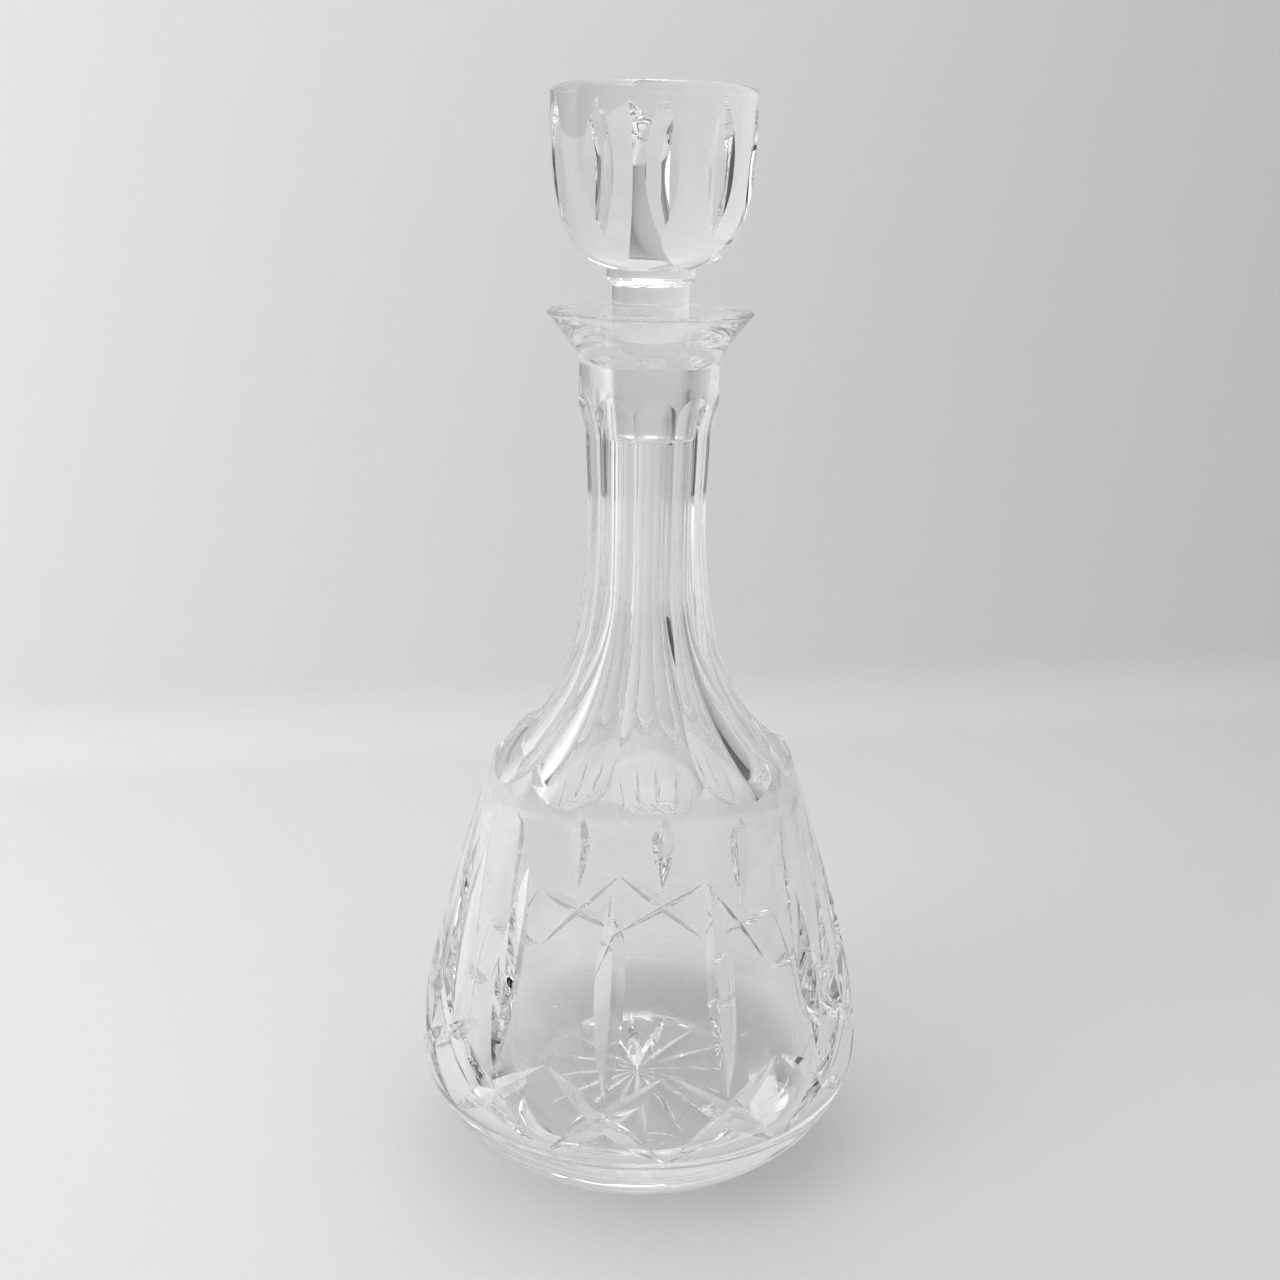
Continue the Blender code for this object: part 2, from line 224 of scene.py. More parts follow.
@dataclass(frozen=True)
class CutRound:
    """A ring of equal cuts, made by one Geometry Nodes tree that every ring shares."""

    name: str
    count: int
    turn: float
    part_of_turn: float = 1.0

    TREE = "cut_round"

    def tree(self) -> bpy.types.GeometryNodeTree:
        """Build the tree that cuts a ring out of a blank, or fetch it if it is there.

        Returns:
            A tree with the inputs Blank, Wheel, Count, Turn, Arc and Crystal.
        """
        if self.TREE in bpy.data.node_groups:
            return bpy.data.node_groups[self.TREE]
        tree = bpy.data.node_groups.new(self.TREE, "GeometryNodeTree")
        face = tree.interface
        face.new_socket("Blank", in_out="INPUT", socket_type="NodeSocketGeometry")
        face.new_socket("Wheel", in_out="INPUT", socket_type="NodeSocketObject")
        face.new_socket("Count", in_out="INPUT", socket_type="NodeSocketInt")
        face.new_socket("Turn", in_out="INPUT", socket_type="NodeSocketFloat")
        face.new_socket("Arc", in_out="INPUT", socket_type="NodeSocketFloat")
        face.new_socket("Crystal", in_out="INPUT", socket_type="NodeSocketMaterial")
        face.new_socket("Cut blank", in_out="OUTPUT", socket_type="NodeSocketGeometry")
        nodes, links = tree.nodes, tree.links
        given = nodes.new("NodeGroupInput")
        made = nodes.new("NodeGroupOutput")
        places = nodes.new("GeometryNodePoints")
        links.new(given.outputs["Count"], places.inputs["Count"])
        spacing = nodes.new("ShaderNodeMath")
        spacing.operation = "DIVIDE"
        links.new(given.outputs["Arc"], spacing.inputs[0])
        links.new(given.outputs["Count"], spacing.inputs[1])
        number = nodes.new("GeometryNodeInputIndex")
        angle = nodes.new("ShaderNodeMath")
        angle.operation = "MULTIPLY_ADD"
        links.new(number.outputs["Index"], angle.inputs[0])
        links.new(spacing.outputs["Value"], angle.inputs[1])
        links.new(given.outputs["Turn"], angle.inputs[2])
        about = nodes.new("ShaderNodeCombineXYZ")
        links.new(angle.outputs["Value"], about.inputs["Z"])
        rotation = nodes.new("FunctionNodeEulerToRotation")
        links.new(about.outputs["Vector"], rotation.inputs["Euler"])
        wheel = nodes.new("GeometryNodeObjectInfo")
        wheel.inputs["As Instance"].default_value = False
        links.new(given.outputs["Wheel"], wheel.inputs["Object"])
        ring = nodes.new("GeometryNodeInstanceOnPoints")
        links.new(places.outputs["Points"], ring.inputs["Points"])
        links.new(wheel.outputs["Geometry"], ring.inputs["Instance"])
        links.new(rotation.outputs["Rotation"], ring.inputs["Rotation"])
        cut = nodes.new("GeometryNodeMeshBoolean")
        cut.operation = "DIFFERENCE"
        cut.solver = "MANIFOLD"
        links.new(given.outputs["Blank"], cut.inputs["Mesh 1"])
        links.new(ring.outputs["Instances"], cut.inputs["Mesh 2"])
        realize = nodes.new("GeometryNodeRealizeInstances")
        links.new(cut.outputs["Mesh"], realize.inputs["Geometry"])
        finish = nodes.new("GeometryNodeSetMaterial")
        links.new(realize.outputs["Geometry"], finish.inputs["Geometry"])
        links.new(given.outputs["Crystal"], finish.inputs["Material"])
        links.new(finish.outputs["Geometry"], made.inputs["Cut blank"])
        return tree

    def cut(self, blank: bpy.types.Object, wheel: bpy.types.Mesh, crystal: bpy.types.Material) -> None:
        """Cut the ring out of a blank, for good.

        Args:
            blank: The piece to cut, whose mesh is replaced.
            wheel: One wheel's shape, at the ring's zero turn.
            crystal: The material of the piece.
        """
        tool = new_piece(self.name + "_wheel", wheel)
        tree = self.tree()
        modifier = blank.modifiers.new(self.name, "NODES")
        modifier.node_group = tree
        values = {"Wheel": tool, "Count": self.count, "Turn": self.turn,
                  "Arc": math.tau * self.part_of_turn, "Crystal": crystal}
        for socket in tree.interface.items_tree:
            if socket.name in values:
                modifier[socket.identifier] = values[socket.name]
        settled = bpy.context.evaluated_depsgraph_get()
        plain = bpy.data.meshes.new_from_object(blank.evaluated_get(settled))
        blank.modifiers.remove(modifier)
        old = blank.data
        blank.data = plain
        plain.name = blank.name
        bpy.data.objects.remove(tool)
        bpy.data.meshes.remove(old)
        bpy.data.meshes.remove(wheel)
        log.info("%s: %d cuts, %d faces", self.name, self.count, len(plain.polygons))


@dataclass(frozen=True)
class Mitre:
    """A V-edged cut, deepest half way along and run out at both tips."""

    depth: float
    half_angle: float = 58 * DEG
    headroom: float = 1.5 * MM
    overrun: float = 1.06
    stations: int = 41

    def places(self) -> list[float]:
        """List the places along the cut, -1 and 1 at its tips and a little past both."""
        return [self.overrun * (2 * step / (self.stations - 1) - 1) for step in range(self.stations)]

    def slanting(self, outline: Outline, foot: float, top: float, half_turn: float) -> list[Station]:
        """Lay a route over a turned surface.

        Args:
            outline: The surface's outline.
            foot: The height of the cut's lower tip.
            top: The height of its upper tip.
            half_turn: How far it turns from its middle to either tip.

        Returns:
            The route's stations.
        """
        middle, half = (foot + top) / 2, (top - foot) / 2
        return [surface_at(outline, middle + half * place, half_turn * place) for place in self.places()]

    def wheel(self, name: str, route: list[Station]) -> bpy.types.Mesh:
        """Shape the wheel's path along a route as a closed mesh."""
        widening = math.tan(self.half_angle)
        last = len(route) - 1
        rings = []
        for index, (point, out) in enumerate(route):
            along = (route[min(index + 1, last)][0] - route[max(index - 1, 0)][0]).normalized()
            across = along.cross(out).normalized()
            sink = self.depth * (1 - (self.overrun * (2 * index / last - 1)) ** 2)
            half_width = (self.headroom + sink) * widening
            top = point + out * self.headroom
            rings.append([point - out * sink, top + across * half_width, top - across * half_width])
        return closed_mesh(name, rings)


@dataclass(frozen=True)
class Flute:
    """A hollow flute, swept down the neck and out over the shoulder."""

    section_radius: float = 22 * MM
    sweep: float = 36 * DEG
    sweep_radius: float = 30 * MM
    top: Point = (14.6 * MM, 198.5 * MM)
    waist: Point = (14.0 * MM, 182.0 * MM)
    waist_pull: float = 34 * MM
    end: Point = (41.0 * MM, 112.2 * MM)
    end_lean: float = 73 * DEG
    end_pull: float = 20.5 * MM
    overrun: float = 14 * MM
    section_steps: int = 96

    def line(self) -> Outline:
        """Draw the flute's deepest line, from above the neck to past the shoulder."""
        centre = leaning(self.top, math.pi / 2, self.sweep_radius)
        sweep = rounded(centre, self.sweep - math.pi / 2, -math.pi / 2, self.sweep_radius, 24)
        third = (self.top[1] - self.waist[1]) / 3
        neck = curve(self.top, leaning(self.top, 0, -third), leaning(self.waist, 0, third), self.waist, 8)
        foot = curve(self.waist, leaning(self.waist, 0, -self.waist_pull),
                     leaning(self.end, -self.end_lean, self.end_pull), self.end, 48)
        past = leaning(self.end, -self.end_lean, -self.overrun)
        return joined(sweep, neck, foot, straight(self.end, past, 6))

    def wheel(self, name: str) -> bpy.types.Mesh:
        """Shape the half-round wheel's path as a closed mesh."""
        line = self.line()
        last = len(line) - 1
        rings = []
        for index, point in enumerate(line):
            before, after = line[max(index - 1, 0)], line[min(index + 1, last)]
            along = Vector((after[0] - before[0], after[1] - before[1])).normalized()
            out = Vector((-along.y, along.x))
            ring = []
            for step in range(self.section_steps + 1):
                lean = math.pi * (step / self.section_steps - 0.5)
                reach = self.section_radius * (1 - math.cos(lean))
                radius = point[0] + out.x * reach
                height = point[1] + out.y * reach
                ring.append(Vector((self.section_radius * math.sin(lean), -radius, height)))
            rings.append(ring)
        return closed_mesh(name, rings)


# ---------------------------------------------------------------- finishes


def new_shader_group(name: str, inputs: dict[str, float],
                     outputs: tuple[str, ...]) -> bpy.types.ShaderNodeTree:
    """Start a shader group that has number inputs and number outputs."""
    group = bpy.data.node_groups.new(name, "ShaderNodeTree")
    for label, value in inputs.items():
        group.interface.new_socket(label, in_out="INPUT", socket_type="NodeSocketFloat").default_value = value
    for label in outputs:
        group.interface.new_socket(label, in_out="OUTPUT", socket_type="NodeSocketFloat")
    return group


def ground_band_group() -> bpy.types.ShaderNodeTree:
    """Build the group that finds a ground glass band by height and radius.

    Returns:
        A group with the inputs Foot, Top, Reach and Fade, and the output Mask.
    """
    name = "ground_band"
    if name in bpy.data.node_groups:
        return bpy.data.node_groups[name]
    group = new_shader_group(name, {"Foot": 0.0, "Top": 0.0, "Reach": 0.0, "Fade": 0.001}, ("Mask",))
    nodes, links = group.nodes, group.links
    given, made = nodes.new("NodeGroupInput"), nodes.new("NodeGroupOutput")
    place = nodes.new("ShaderNodeTexCoord")
    axes = nodes.new("ShaderNodeSeparateXYZ")
    links.new(place.outputs["Object"], axes.inputs["Vector"])
    flat = nodes.new("ShaderNodeVectorMath")
    flat.operation = "MULTIPLY"
    flat.inputs[1].default_value = (1.0, 1.0, 0.0)
    links.new(place.outputs["Object"], flat.inputs[0])
    radius = nodes.new("ShaderNodeVectorMath")
    radius.operation = "LENGTH"
    links.new(flat.outputs["Vector"], radius.inputs[0])

    def ramp(value: bpy.types.NodeSocket, edge: bpy.types.NodeSocket, rising: bool) -> bpy.types.NodeSocket:
        """Measure how far a value is past an edge, in fades, held between 0 and 1."""
        past = nodes.new("ShaderNodeMath")
        past.operation = "SUBTRACT"
        links.new(value if rising else edge, past.inputs[0])
        links.new(edge if rising else value, past.inputs[1])
        share = nodes.new("ShaderNodeMath")
        share.operation = "DIVIDE"
        share.use_clamp = True
        links.new(past.outputs["Value"], share.inputs[0])
        links.new(given.outputs["Fade"], share.inputs[1])
        return share.outputs["Value"]

    height = axes.outputs["Z"]
    above = ramp(height, given.outputs["Foot"], True)
    below = ramp(height, given.outputs["Top"], False)
    within = ramp(radius.outputs["Value"], given.outputs["Reach"], False)
    band = nodes.new("ShaderNodeMath")
    band.operation = "MULTIPLY"
    links.new(above, band.inputs[0])
    links.new(below, band.inputs[1])
    mask = nodes.new("ShaderNodeMath")
    mask.operation = "MULTIPLY"
    links.new(band.outputs["Value"], mask.inputs[0])
    links.new(within, mask.inputs[1])
    links.new(mask.outputs["Value"], made.inputs["Mask"])
    return group


def glass_relief_group() -> bpy.types.ShaderNodeTree:
    """Build the group for the slight unevenness of polished glass and the grain of ground glass.

    Returns:
        A group with the inputs Ripple size, Ripple, Grain size, Grain and Ground, and the output Height.
    """
    name = "glass_relief"
    if name in bpy.data.node_groups:
        return bpy.data.node_groups[name]
    sizes = {"Ripple size": 0.01, "Ripple": 0.0, "Grain size": 0.001, "Grain": 0.0, "Ground": 0.0}
    group = new_shader_group(name, sizes, ("Height",))
    nodes, links = group.nodes, group.links
    given, made = nodes.new("NodeGroupInput"), nodes.new("NodeGroupOutput")
    place = nodes.new("ShaderNodeTexCoord")
    heights = []
    for size, amount, detail in (("Ripple size", "Ripple", 1.0), ("Grain size", "Grain", 3.0)):
        scale = nodes.new("ShaderNodeMath")
        scale.operation = "DIVIDE"
        scale.inputs[0].default_value = 1.0
        links.new(given.outputs[size], scale.inputs[1])
        noise = nodes.new("ShaderNodeTexNoise")
        noise.inputs["Detail"].default_value = detail
        links.new(place.outputs["Object"], noise.inputs["Vector"])
        links.new(scale.outputs["Value"], noise.inputs["Scale"])
        height = nodes.new("ShaderNodeMath")
        height.operation = "MULTIPLY"
        links.new(noise.outputs["Fac"], height.inputs[0])
        links.new(given.outputs[amount], height.inputs[1])
        heights.append(height.outputs["Value"])
    grain = nodes.new("ShaderNodeMath")
    grain.operation = "MULTIPLY_ADD"
    links.new(heights[1], grain.inputs[0])
    links.new(given.outputs["Ground"], grain.inputs[1])
    links.new(heights[0], grain.inputs[2])
    links.new(grain.outputs["Value"], made.inputs["Height"])
    return group


def add_relief(material: bpy.types.Material, sizes: dict[str, float]) -> bpy.types.ShaderNodeGroup:
    """Give a material's Principled shader the relief group as a bump.

    Args:
        material: A material that uses nodes.
        sizes: The relief's inputs, in metres.

    Returns:
        The relief group's node.
    """
    nodes, links = material.node_tree.nodes, material.node_tree.links
    relief = nodes.new("ShaderNodeGroup")
    relief.node_tree = glass_relief_group()
    for name, size in sizes.items():
        relief.inputs[name].default_value = size
    bump = nodes.new("ShaderNodeBump")
    bump.inputs["Strength"].default_value = 1.0
    bump.inputs["Distance"].default_value = 1.0
    links.new(relief.outputs["Height"], bump.inputs["Height"])
    links.new(bump.outputs["Normal"], nodes["Principled BSDF"].inputs["Normal"])
    return relief


@dataclass(frozen=True)
class LeadCrystal:
    """Clear lead crystal, polished but for a ground band where the stopper sits."""

    name: str
    band_foot: float
    band_top: float
    band_reach: float
    tint: tuple[float, float, float] = (0.996, 0.998, 0.997)
    ior: float = 1.54
    polish: float = 0.0
    ground: float = 0.22
    band_fade: float = 0.4 * MM
    ripple_size: float = 14 * MM
    ripple: float = 0.006 * MM
    grain_size: float = 0.5 * MM
    grain: float = 0.02 * MM
    shadow: tuple[float, float, float] = (0.84, 0.84, 0.85)

    def material(self) -> bpy.types.Material:
        """Build the crystal as a node material.

        Returns:
            The material.
        """
        material = bpy.data.materials.new(self.name)
        material.use_nodes = True
        nodes, links = material.node_tree.nodes, material.node_tree.links
        shader = nodes["Principled BSDF"]
        shader.inputs["Base Color"].default_value = (*self.tint, 1.0)
        shader.inputs["Metallic"].default_value = 0.0
        shader.inputs["IOR"].default_value = self.ior
        shader.inputs["Transmission Weight"].default_value = 1.0
        band = nodes.new("ShaderNodeGroup")
        band.node_tree = ground_band_group()
        band.inputs["Foot"].default_value = self.band_foot
        band.inputs["Top"].default_value = self.band_top
        band.inputs["Reach"].default_value = self.band_reach
        band.inputs["Fade"].default_value = self.band_fade
        roughness = nodes.new("ShaderNodeMapRange")
        roughness.inputs["To Min"].default_value = self.polish
        roughness.inputs["To Max"].default_value = self.ground
        links.new(band.outputs["Mask"], roughness.inputs["Value"])
        links.new(roughness.outputs["Result"], shader.inputs["Roughness"])
        relief = add_relief(material, {"Ripple size": self.ripple_size, "Ripple": self.ripple,
                                       "Grain size": self.grain_size, "Grain": self.grain})
        links.new(band.outputs["Mask"], relief.inputs["Ground"])
        clear = nodes.new("ShaderNodeBsdfTransparent")
        clear.inputs["Color"].default_value = (*self.shadow, 1.0)
        light = nodes.new("ShaderNodeLightPath")
        mix = nodes.new("ShaderNodeMixShader")
        links.new(light.outputs["Is Shadow Ray"], mix.inputs["Fac"])
        links.new(shader.outputs["BSDF"], mix.inputs[1])
        links.new(clear.outputs["BSDF"], mix.inputs[2])
        links.new(mix.outputs["Shader"], nodes["Material Output"].inputs["Surface"])
        return material


@dataclass(frozen=True)
class Paper:
    """Matt white paper with a faint fibre, seen only from its front."""

    name: str
    colour: tuple[float, float, float] = (0.80, 0.80, 0.81)
    roughness: float = 0.75
    fibre_size: float = 1.6 * MM
    fibre: float = 0.05 * MM
    specular: float = 0.25

    def material(self) -> bpy.types.Material:
        """Build the paper as a node material.

        Returns:
            The material.
        """
        material = bpy.data.materials.new(self.name)
        material.use_nodes = True
        nodes, links = material.node_tree.nodes, material.node_tree.links
        shader = nodes["Principled BSDF"]
        shader.inputs["Base Color"].default_value = (*self.colour, 1.0)
        shader.inputs["Roughness"].default_value = self.roughness
        shader.inputs["Specular IOR Level"].default_value = self.specular
        add_relief(material, {"Ripple size": self.fibre_size, "Ripple": self.fibre})
        side = nodes.new("ShaderNodeNewGeometry")
        mix = nodes.new("ShaderNodeMixShader")
        links.new(side.outputs["Backfacing"], mix.inputs["Fac"])
        links.new(shader.outputs["BSDF"], mix.inputs[1])
        links.new(nodes.new("ShaderNodeBsdfTransparent").outputs["BSDF"], mix.inputs[2])
        links.new(mix.outputs["Shader"], nodes["Material Output"].inputs["Surface"])
        return material


# ---------------------------------------------------------------- the two pieces


@dataclass(frozen=True)
class Joint:
    """The ground cone that the plug and the mouth share."""

    top: float = 218.5 * MM
    length: float = 17.5 * MM
    plug_radius: float = 9.7 * MM
    taper: float = 3 * DEG
    clearance: float = 0.3 * MM
    ground_reach: float = 11.5 * MM

    @property
    def foot(self) -> float:
        """The height of the joint's lower end."""
        return self.top - self.length

    def plug_at(self, height: float) -> float:
        """The plug's radius at a height."""
        return self.plug_radius - max(0.0, self.top - height) * math.tan(self.taper)


def dress(piece: bpy.types.Object, body: Body, node: str) -> None:
    """Shade a finished piece and give it its place in the model.

    Args:
        piece: The finished piece.
        body: The body that it moves with.
        node: The plain solid that it stands for.
    """
    shape = bmesh.new()
    shape.from_mesh(piece.data)
    bmesh.ops.recalc_face_normals(shape, faces=shape.faces)
    open_edges = sum(not edge.is_manifold for edge in shape.edges)
    shape.to_mesh(piece.data)
    shape.free()
    piece.data.shade_smooth()
    piece.data.set_sharp_from_angle(angle=SHARP_ANGLE)
    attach(piece, body.value)
    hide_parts(node)
    piece.data.calc_loop_triangles()
    log.info("%s: %d triangles, %d open edges", piece.name, len(piece.data.loop_triangles), open_edges)


@dataclass
class Bottle:
    """The bottle: a thick blown body with a long fluted neck and a flared lip."""

    joint: Joint
    height: float = 232.2 * MM
    foot_radius: float = 34.3 * MM
    heel_lean: float = 56 * DEG
    heel_pulls: Point = (14.0 * MM, 17.3 * MM)
    belly: Point = (60.9 * MM, 34.1 * MM)
    side_lean: float = 19 * DEG
    side_pulls: Point = (14.4 * MM, 39.0 * MM)
    shoulder: Point = (39.8 * MM, 115.5 * MM)
    shoulder_pull: float = 5.0 * MM
    neck: Point = (17.8 * MM, 160.0 * MM)
    neck_pull: float = 26.0 * MM
    flare_length: float = 13.2 * MM
    flare_pull: float = 3.0 * MM
    lip_radius: float = 25.9 * MM
    lip_wall: float = 2.0 * MM
    base_thickness: float = 21.0 * MM
    base_recess: float = 1.8 * MM
    foot_ring: float = 2.4 * MM
    shoulder_wall: float = 4.5 * MM
    belly_wall: float = 9.0 * MM
    floor_round: float = 20.5 * MM
    floor_pull: float = 14.0 * MM
    inner_shoulder_drop: float = 11.0 * MM
    inner_shoulder_pull: float = 9.0 * MM
    bore_radius: float = 8.4 * MM
    bore_pull: float = 24.0 * MM
    flute: Flute = field(default_factory=Flute)
    flutes: CutRound = CutRound("neck_flutes", 10, 5.9 * DEG)
    pattern_count: int = 12
    pattern_turn: float = -7.7 * DEG
    upright: Mitre = Mitre(2.5 * MM)
    upright_foot: float = 44.0 * MM
    upright_top: float = 97.0 * MM
    cross: Mitre = Mitre(1.7 * MM)
    cross_foot: float = 27.4 * MM
    cross_top: float = 51.2 * MM
    cross_tip_gap: float = 0.25 * DEG
    ray: Mitre = Mitre(1.5 * MM)
    ray_count: int = 16
    ray_turn: float = 5 * DEG
    ray_reach: float = 30.0 * MM
    dome_steps: int = 16
    steps: int = 240

    def side(self) -> Outline:
        """Draw the outer side from the foot up to the lip's outer edge."""
        foot = (self.foot_radius, 0.0)
        flare = (self.neck[0], self.height - self.flare_length)
        lip = (self.lip_radius, self.height - self.lip_wall / 2)
        heel = curve(foot, leaning(foot, self.heel_lean, self.heel_pulls[0]),
                     leaning(self.belly, 0, -self.heel_pulls[1]), self.belly, 28)
        side = curve(self.belly, leaning(self.belly, 0, self.side_pulls[0]),
                     leaning(self.shoulder, -self.side_lean, -self.side_pulls[1]), self.shoulder, 40)
        top = curve(self.shoulder, leaning(self.shoulder, -self.side_lean, self.shoulder_pull),
                    leaning(self.neck, 0, -self.neck_pull), self.neck, 24)
        mouth = curve(flare, leaning(flare, 0, self.flare_pull), lip, lip, 14)
        return joined(heel, side, top, straight(self.neck, flare, 20), mouth)

    def hollow(self) -> Outline:
        """Draw the inner wall from the middle of the floor up to the lip's inner edge."""
        joint = self.joint
        belly = (self.belly[0] - self.belly_wall, self.belly[1])
        floor = (belly[0] - self.floor_round, self.base_thickness)
        drop = self.inner_shoulder_drop
        shoulder = (self.shoulder[0] + drop * math.tan(self.side_lean) - self.shoulder_wall,
                    self.shoulder[1] - drop)
        bore = (self.bore_radius, self.neck[1])
        foot = (joint.plug_at(joint.foot) + joint.clearance, joint.foot)
        bore_top = (self.bore_radius, joint.foot - abs(foot[0] - self.bore_radius))
        top = (joint.plug_at(joint.top) + joint.clearance, joint.top)
        lip = (self.lip_radius - self.lip_wall, self.height - self.lip_wall / 2)
        corner = curve(floor, leaning(floor, math.pi / 2, self.floor_pull),
                       leaning(belly, 0, -self.floor_pull), belly, 20)
        side = curve(belly, leaning(belly, 0, self.side_pulls[0]),
                     leaning(shoulder, -self.side_lean, drop - self.side_pulls[1]), shoulder, 24)
        throat = curve(shoulder, leaning(shoulder, -self.side_lean, self.inner_shoulder_pull),
                       leaning(bore, 0, -self.bore_pull), bore, 24)
        return joined(straight((0.0, self.base_thickness), floor, 8), corner, side, throat,
                      straight(bore, bore_top, 10), [foot], straight(foot, top, 6), straight(top, lip, 6))

    def base_height(self, radius: float) -> float:
        """The height of the domed underside at a radius inside the foot ring."""
        return self.base_recess * (1 - abs(radius / (self.foot_radius - self.foot_ring)) ** 3)

    def outline(self) -> Outline:
        """Draw the whole outline, up the inside, over the lip, down the outside and under the base."""
        middle = (self.lip_radius - self.lip_wall / 2, self.height - self.lip_wall / 2)
        lip = rounded(middle, -math.pi / 2, math.pi / 2, self.lip_wall / 2, 12)
        ring = self.foot_radius - self.foot_ring
        radii = [ring * (1 - step / self.dome_steps) for step in range(self.dome_steps + 1)]
        dome = [(radius, self.base_height(radius)) for radius in radii]
        return joined(self.hollow(), lip, self.side()[::-1], dome)

    def build(self, crystal: bpy.types.Material) -> bpy.types.Object:
        """Turn the blank and cut it.

        Args:
            crystal: The bottle's material.

        Returns:
            The finished bottle.
        """
        bottle = new_piece("crystal_bottle", turned_mesh("crystal_bottle", self.outline(), self.steps))
        bottle.data.materials.append(crystal)
        side = self.side()
        self.flutes.cut(bottle, self.flute.wheel("flute"), crystal)
        route = self.upright.slanting(side, self.upright_foot, self.upright_top, 0)
        upright = self.upright.wheel("upright", route)
        CutRound("uprights", self.pattern_count, self.pattern_turn).cut(bottle, upright, crystal)
        half_turn = math.pi / self.pattern_count - self.cross_tip_gap
        for name, turn in (("rising_arms", half_turn), ("falling_arms", -half_turn)):
            arm = self.cross.wheel(name, self.cross.slanting(side, self.cross_foot, self.cross_top, turn))
            CutRound(name, self.pattern_count, self.pattern_turn).cut(bottle, arm, crystal)
        reaches = [self.ray_reach * place for place in self.ray.places()]
        route = [(Vector((0, reach, self.base_height(reach))), Vector((0, 0, -1))) for reach in reaches]
        star = CutRound("star_rays", self.ray_count // 2, self.ray_turn, part_of_turn=0.5)
        star.cut(bottle, self.ray.wheel("ray", route), crystal)
        return bottle


@dataclass
class Stopper:
    """The stopper: a heavy cup-shaped head on a ground plug."""

    joint: Joint
    bottle_height: float
    head_lift: float = 9.8 * MM
    collar_step: float = 1.4 * MM
    collar_length: float = 2.6 * MM
    head_radius: float = 25.2 * MM
    head_length: float = 43.0 * MM
    edge_round: float = 2.0 * MM
    foot_lean: float = 70 * DEG
    foot_pull: float = 13.0 * MM
    top_pull: float = 27.0 * MM
    plug_chamfer: float = 0.7 * MM
    lens: Mitre = Mitre(2.8 * MM)
    lenses: CutRound = CutRound("head_lenses", 10, 5 * DEG)
    lens_foot_rise: float = 8.5 * MM
    lens_top_drop: float = 3.0 * MM
    steps: int = 240

    def head(self) -> Outline:
        """Draw the head from its collar up to the middle of its flat top."""
        base = self.bottle_height + self.head_lift
        top = base + self.head_length
        foot = (self.joint.plug_radius + self.collar_step, base)
        edge = (self.head_radius, top - self.edge_round)
        bowl = curve(foot, leaning(foot, self.foot_lean, self.foot_pull),
                     leaning(edge, 0, -self.top_pull), edge, 48)
        middle = (self.head_radius - self.edge_round, top - self.edge_round)
        rounding = rounded(middle, math.pi / 2, 0.0, self.edge_round, 10)
        return joined(bowl, rounding, straight(rounding[-1], (0.0, top), 8))

    def outline(self) -> Outline:
        """Draw the whole outline, from the middle of the top down to the middle of the plug's foot."""
        joint = self.joint
        head = self.head()
        collar_foot = head[0][1] - self.collar_length
        plug_foot = joint.plug_at(joint.foot)
        shank = (joint.plug_radius, collar_foot - self.collar_step)
        waist = (joint.plug_radius, joint.top)
        chamfer = (plug_foot, joint.foot + self.plug_chamfer)
        end = (plug_foot - self.plug_chamfer, joint.foot)
        below = joined(straight(head[0], (head[0][0], collar_foot), 3), [shank], straight(shank, waist, 4),
                       straight(waist, chamfer, 6), [end], straight(end, (0.0, joint.foot), 4))
        return joined(head[::-1], below)

    def build(self, crystal: bpy.types.Material) -> bpy.types.Object:
        """Turn the blank and cut it.

        Args:
            crystal: The stopper's material.

        Returns:
            The finished stopper.
        """
        stopper = new_piece("crystal_stopper", turned_mesh("crystal_stopper", self.outline(), self.steps))
        stopper.data.materials.append(crystal)
        head = self.head()
        foot, top = head[0][1] + self.lens_foot_rise, head[-1][1] - self.lens_top_drop
        self.lenses.cut(stopper, self.lens.wheel("lens", self.lens.slanting(head, foot, top, 0)), crystal)
        return stopper


# ---------------------------------------------------------------- table, light and camera


@dataclass
class Table:
    """A white sweep of paper: a tabletop that curves up into a wall behind."""

    paper: Paper
    front: float = -1.6
    back: float = 0.335
    turn: float = 11 * DEG
    half_width: float = 1.8
    wall_height: float = 1.5
    cove_radius: float = 0.03
    cove_steps: int = 16

    def build(self) -> bpy.types.Object:
        """Build the sweep.

        Returns:
            The paper sweep.
        """
        middle = (self.back - self.cove_radius, self.cove_radius)
        bend = [(middle[0] + math.sin(turn) * self.cove_radius, middle[1] - math.cos(turn) * self.cove_radius)
                for turn in (math.pi / 2 * step / self.cove_steps for step in range(self.cove_steps + 1))]
        line = [(self.front, 0.0)] + bend + [(self.back, self.wall_height)]
        turned = Matrix.Rotation(self.turn, 3, "Z")
        verts = [turned @ Vector((x, y, z)) for y, z in line for x in (-self.half_width, self.half_width)]
        faces = [(2 * n, 2 * n + 1, 2 * n + 3, 2 * n + 2) for n in range(len(line) - 1)]
        mesh = bpy.data.meshes.new("paper_sweep")
        mesh.from_pydata(verts, [], faces)
        mesh.shade_smooth()
        mesh.materials.append(self.paper.material())
        sweep = new_piece("paper_sweep", mesh)
        return sweep


